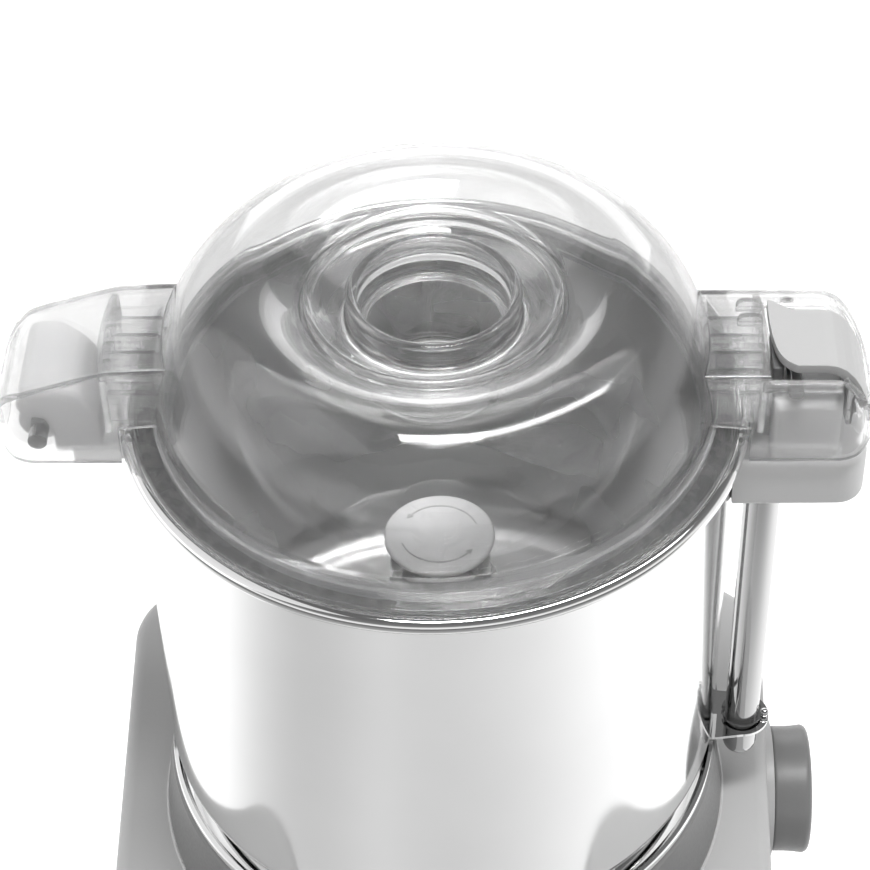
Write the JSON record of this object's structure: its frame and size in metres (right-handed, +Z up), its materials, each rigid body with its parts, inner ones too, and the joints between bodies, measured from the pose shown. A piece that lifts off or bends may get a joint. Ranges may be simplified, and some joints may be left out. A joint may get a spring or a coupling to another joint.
{
  "type": "cutter mixer",
  "caption": "Tabletop vertical cutter mixer: steel bowl with side handles, clear domed lid with hinged wings, latch and feed funnel, blades on a drive shaft, safety rod and motor base.",
  "frame": {"origin": "on the drive axis at the floor, centre of the bounding box's bottom", "axes": "+Z up along the drive axis, +X towards the latch and the knob, -Y towards the pictured side"},
  "size_m": [0.2744, 0.204, 0.469],
  "materials": {
    "grey_paint": "satin",
    "dark_plastic": "matte",
    "steel_plate": "brushed",
    "rubber": "matte",
    "zinc": "satin",
    "lamination": "matte",
    "cast_alloy": "cast",
    "bearing_steel": "polished",
    "light_plastic": "satin",
    "knob_plastic": "satin",
    "polished_steel": "mirror polished",
    "blade_steel": "ground",
    "clear_plastic": "clear, polished",
    "seal_rubber": "soft translucent"
  },
  "bodies": {
    "base": {"base_housing": "grey_paint", "pedestal_ring": "dark_plastic", "base_plate": "steel_plate", "rubber_feet": "rubber", "foot_screws": "zinc", "motor_stator": "lamination", "motor_upper_bell": "cast_alloy", "motor_lower_bell": "cast_alloy", "shaft_seal": "rubber", "upper_bearing": "bearing_steel", "lower_bearing": "bearing_steel", "switch_body": "dark_plastic", "knob_bezel": "light_plastic", "interlock_switch": "dark_plastic", "cable_gland": "dark_plastic"},
    "drive": {"drive_shaft": "bearing_steel", "motor_rotor": "lamination", "cooling_fan": "dark_plastic"},
    "knob": {"control_knob": "knob_plastic"},
    "bowl": {"bowl_shell": "polished_steel", "bowl_chimney": "polished_steel", "bowl_foot_ring": "polished_steel", "left_handle": "light_plastic", "right_handle": "light_plastic", "rod_bracket": "polished_steel"},
    "safety_rod": {"safety_rod": "polished_steel", "rod_clip": "bearing_steel"},
    "blades": {"blade_hub": "light_plastic", "lower_blade": "blade_steel", "upper_blade": "blade_steel", "hub_cap": "light_plastic"},
    "lid": {"lid_shell": "clear_plastic", "lid_left_wing": "clear_plastic", "lid_right_wing": "clear_plastic", "lid_seal": "seal_rubber", "hinge_pin": "bearing_steel"},
    "latch": {"latch_lever": "light_plastic", "latch_hook": "dark_plastic", "latch_pin": "bearing_steel"},
    "funnel": {"feed_funnel": "clear_plastic"}
  },
  "joints": [
    {"name": "drive_spin", "type": "hinge", "parent": "base", "child": "drive", "pos_m": [0, 0, 0], "axis": [0, 0, 1], "continuous": true},
    {"name": "knob_turn", "type": "hinge", "parent": "base", "child": "knob", "pos_m": [0.12, 0.022, 0.194], "axis": [1, 0, 0], "range_deg": [-60, 60]},
    {"name": "bowl_lift", "type": "slide", "parent": "base", "child": "bowl", "axis": [0, 0, 1], "range_m": [0, 0.1]},
    {"name": "blade_lift", "type": "slide", "parent": "drive", "child": "blades", "axis": [0, 0, 1], "range_m": [0, 0.1]},
    {"name": "lid_hinge", "type": "hinge", "parent": "bowl", "child": "lid", "pos_m": [-0.123, 0, 0.419], "axis": [0, -1, 0], "range_deg": [0, 90]},
    {"name": "latch_turn", "type": "hinge", "parent": "lid", "child": "latch", "pos_m": [0.1105, 0, 0.4395], "axis": [0, -1, 0], "range_deg": [0, 6]},
    {"name": "funnel_lift", "type": "slide", "parent": "lid", "child": "funnel", "axis": [0, 0, 1], "range_m": [0, 0.06]},
    {"name": "rod_slide", "type": "slide", "parent": "bowl", "child": "safety_rod", "axis": [0, 0, 1], "range_m": [0, 0.004]}
  ],
  "couplings": [
    {"joint": "blade_lift", "follows": "bowl_lift", "ratio": 1},
    {"joint": "rod_slide", "follows": "lid_hinge", "m_per_rad": 0.0025}
  ]
}
